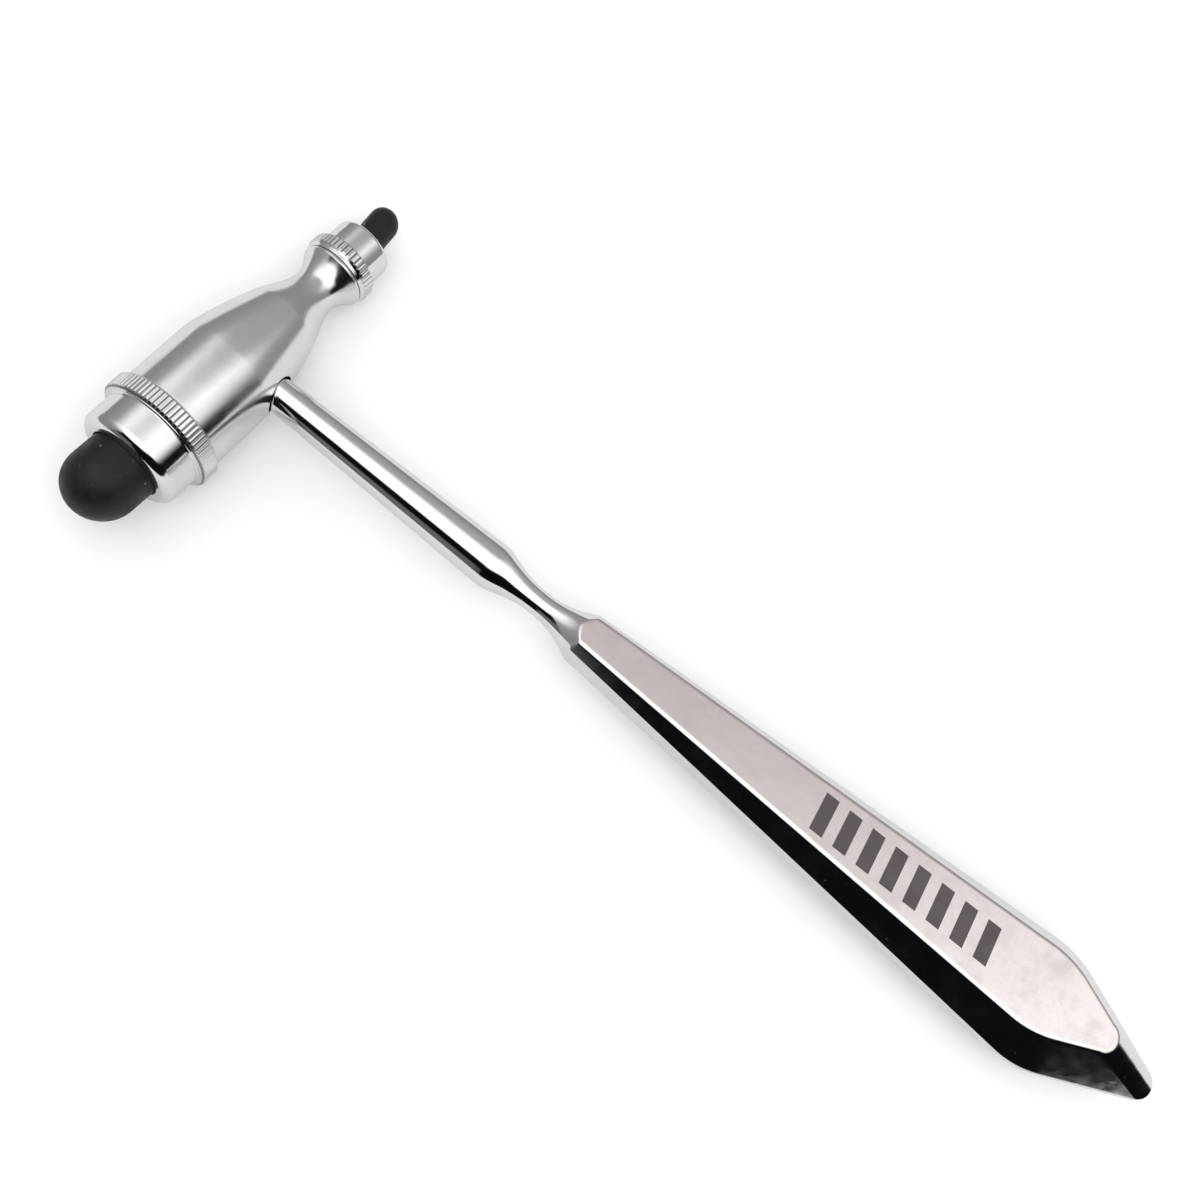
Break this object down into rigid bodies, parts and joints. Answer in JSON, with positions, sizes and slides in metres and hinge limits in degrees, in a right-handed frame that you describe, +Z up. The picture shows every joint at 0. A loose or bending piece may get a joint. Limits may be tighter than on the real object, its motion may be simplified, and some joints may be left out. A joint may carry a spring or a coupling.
{
  "type": "reflex hammer",
  "caption": "Chromed reflex hammer with a large and a small rubber mallet in screw caps and a screw-in handle with a bevelled grip.",
  "frame": {"origin": "on the table under the middle of the hammer as it lies on its back", "axes": "+X along the head towards the small mallet, -Y along the handle towards the grip's point, +Z up"},
  "size_m": [0.0958, 0.2454, 0.0266],
  "materials": {
    "head_chrome": "polished chrome plate",
    "cap_chrome": "polished chrome plate, knurled ring",
    "handle_chrome": "polished chrome plate with light wear on the flat faces",
    "mallet_rubber": "matt black moulded rubber",
    "washer_steel": "plain stamped steel"
  },
  "bodies": {
    "head": {"head_body": "head_chrome"},
    "large_mallet_body": {"large_mallet": "mallet_rubber", "large_backing_washer": "washer_steel"},
    "large_cap_body": {"large_cap": "cap_chrome"},
    "small_mallet_body": {"small_mallet": "mallet_rubber", "small_backing_washer": "washer_steel"},
    "small_cap_body": {"small_cap": "cap_chrome"},
    "lock_washer_body": {"shaft_lock_washer": "washer_steel"},
    "handle_body": {"handle": "handle_chrome"}
  },
  "joints": [
    {"name": "large_mallet_slide", "type": "slide", "parent": "head", "child": "large_mallet_body", "axis": [-0.9976, 0, 0.07], "range_m": [0, 0.00888]},
    {"name": "large_cap_turn", "type": "hinge", "parent": "large_mallet_body", "child": "large_cap_body", "pos_m": [-0.02733, 0.1095, 0.01349], "axis": [-0.9976, 0, 0.07], "range_deg": [0, 2520]},
    {"name": "small_mallet_slide", "type": "slide", "parent": "head", "child": "small_mallet_body", "axis": [0.9976, 0, -0.07], "range_m": [0, 0.00636]},
    {"name": "small_cap_turn", "type": "hinge", "parent": "small_mallet_body", "child": "small_cap_body", "pos_m": [0.03153, 0.1095, 0.00936], "axis": [0.9976, 0, -0.07], "range_deg": [0, 2520]},
    {"name": "shaft_slide", "type": "slide", "parent": "head", "child": "lock_washer_body", "axis": [-0.001, -0.9999, -0.0148], "range_m": [0, 0.01059]},
    {"name": "handle_turn", "type": "hinge", "parent": "lock_washer_body", "child": "handle_body", "pos_m": [-0.00245, 0.04951, 0.01085], "axis": [-0.001, -0.9999, -0.0148], "range_deg": [0, 3600]}
  ],
  "couplings": [
    {"joint": "large_cap_turn", "follows": "large_mallet_slide", "rad_per_m": 4947.4},
    {"joint": "small_cap_turn", "follows": "small_mallet_slide", "rad_per_m": 6904.6},
    {"joint": "handle_turn", "follows": "shaft_slide", "rad_per_m": 5927.5}
  ]
}
